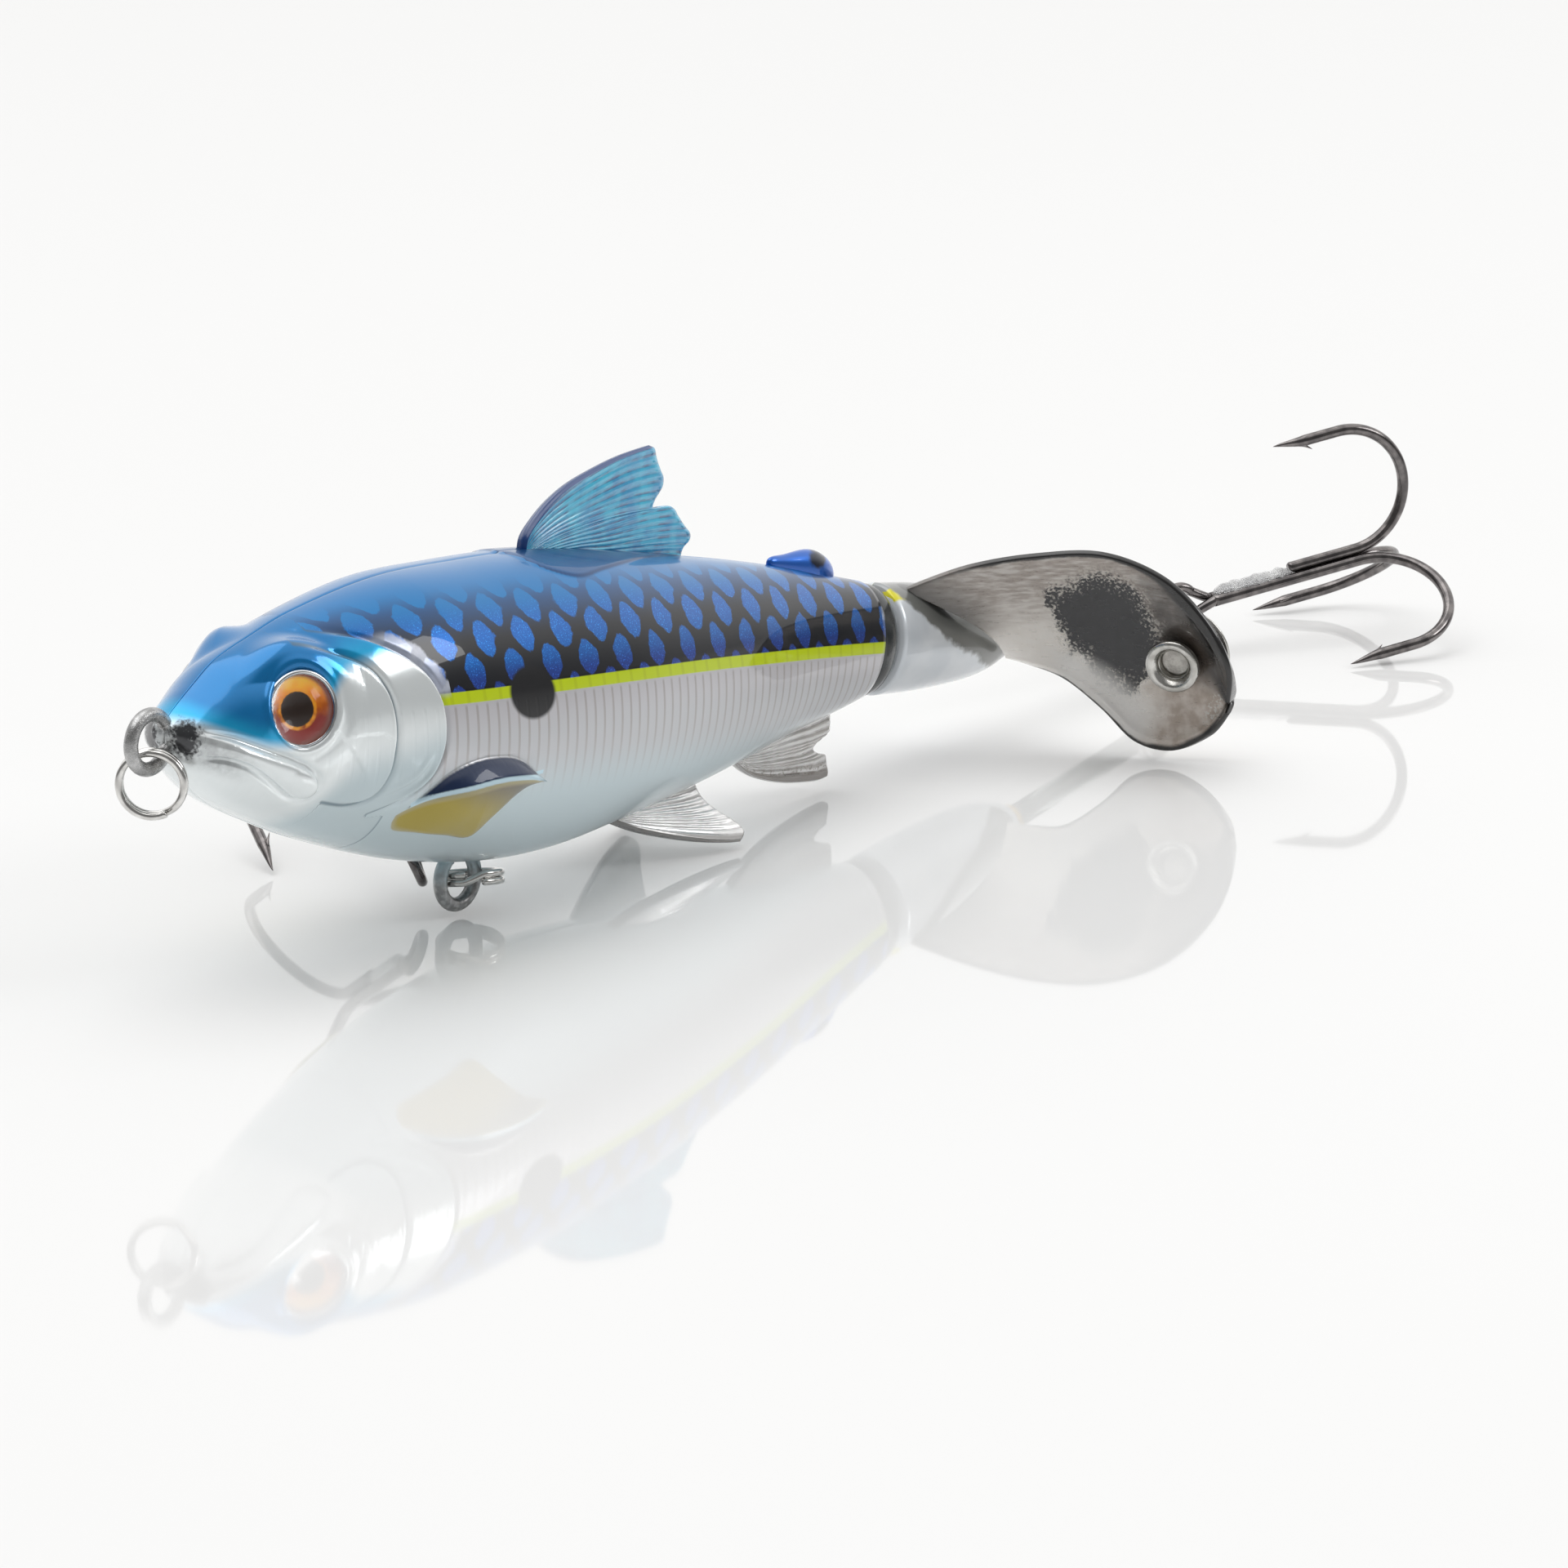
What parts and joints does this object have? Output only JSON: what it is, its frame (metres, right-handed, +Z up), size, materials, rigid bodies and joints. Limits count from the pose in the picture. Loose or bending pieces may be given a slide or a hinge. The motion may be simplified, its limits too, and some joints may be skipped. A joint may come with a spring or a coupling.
{
  "type": "topwater fishing bait",
  "caption": "Hard-bodied fish-shaped topwater bait with a spinning propeller tail, wire eyes, split rings and treble hooks.",
  "frame": {"origin": "centre of the nose wire eye, the line tie", "axes": "+X towards the tail, +Y towards the fish's right side, +Z up; the table it lies on is 26 mm below the origin"},
  "size_m": [0.1936, 0.0608, 0.0396],
  "materials": {
    "shell_paint": "metallic candy paint under a clear coat",
    "iris_foil": "printed foil",
    "eye_clear": "clear, polished",
    "fin_turquoise": "translucent, moulded",
    "fin_clear": "clear, moulded",
    "satin_wire": "satin stainless wire",
    "ballast_metal": "bare",
    "tube_clear": "clear tube",
    "ball_steel": "polished steel",
    "bearing_brass": "turned",
    "collar_smoke": "dark translucent smoke",
    "cone_paint": "pearl paint over clear plastic",
    "blade_smoke": "translucent smoke, glossy",
    "rivet_nickel": "nickel plated",
    "ring_nickel": "bright nickel",
    "black_nickel": "black nickel plated, glossy",
    "tin_braze": "bright solder"
  },
  "bodies": {
    "body": {"body_shell_left": "shell_paint", "body_shell_right": "shell_paint", "eye_iris_left": "iris_foil", "eye_iris_right": "iris_foil", "eye_dome_left": "eye_clear", "eye_dome_right": "eye_clear", "dorsal_fin": "fin_turquoise", "pelvic_fin_left": "fin_clear", "pelvic_fin_right": "fin_clear", "anal_fin": "fin_clear", "line_tie_wire": "satin_wire", "belly_hanger_wire": "satin_wire", "ballast_weight": "ballast_metal", "rattle_tube": "tube_clear", "rattle_plug": "tube_clear", "shaft_anchor": "bearing_brass", "tail_shaft": "satin_wire", "rear_collar": "collar_smoke", "thrust_washer_front": "bearing_brass", "thrust_washer_rear": "bearing_brass", "spacer_sleeve": "tube_clear"},
    "tail": {"tail_cone": "cone_paint", "tail_blade": "blade_smoke", "blade_rivet": "rivet_nickel", "rivet_disc": "rivet_nickel", "tail_bush_front": "bearing_brass", "tail_bush_rear": "bearing_brass"},
    "nose_ring": {"nose_split_ring": "ring_nickel"},
    "belly_ring": {"belly_split_ring": "ring_nickel"},
    "belly_hook": {"belly_double_hook": "black_nickel", "belly_single_hook": "black_nickel", "belly_hook_braze": "tin_braze"},
    "tail_ring": {"tail_split_ring": "ring_nickel"},
    "tail_hook": {"tail_double_hook": "black_nickel", "tail_single_hook": "black_nickel", "tail_hook_braze": "tin_braze"},
    "rattle": {"rattle_balls": "ball_steel"}
  },
  "joints": [
    {"name": "tail_spin", "type": "hinge", "parent": "body", "child": "tail", "pos_m": [0.1045, 0, -0.01225], "axis": [0.9863, 0, -0.165], "continuous": true},
    {"name": "nose_ring_swing", "type": "hinge", "parent": "body", "child": "nose_ring", "pos_m": [0, 0, 0], "axis": [0, 1, 0], "range_deg": [-6, 80]},
    {"name": "belly_ring_swing", "type": "hinge", "parent": "body", "child": "belly_ring", "pos_m": [0.0437, 0, -0.0227], "axis": [0, 1, 0], "range_deg": [0, 8]},
    {"name": "belly_hook_swing", "type": "hinge", "parent": "belly_ring", "child": "belly_hook", "pos_m": [0.04324, 0.00493, -0.02204], "axis": [0.7172, -0.615, 0.3278], "range_deg": [-60, 0]},
    {"name": "tail_ring_swing", "type": "hinge", "parent": "body", "child": "tail_ring", "pos_m": [0.155, 0, -0.0207], "axis": [0, 1, 0], "range_deg": [-45, 45]},
    {"name": "tail_hook_swing", "type": "hinge", "parent": "tail_ring", "child": "tail_hook", "pos_m": [0.15811, 0.00094, -0.02094], "axis": [0, 0, 1], "range_deg": [-45, 45]},
    {"name": "rattle_slide", "type": "slide", "parent": "body", "child": "rattle", "axis": [1, 0, 0], "range_m": [0, 0.007]}
  ]
}
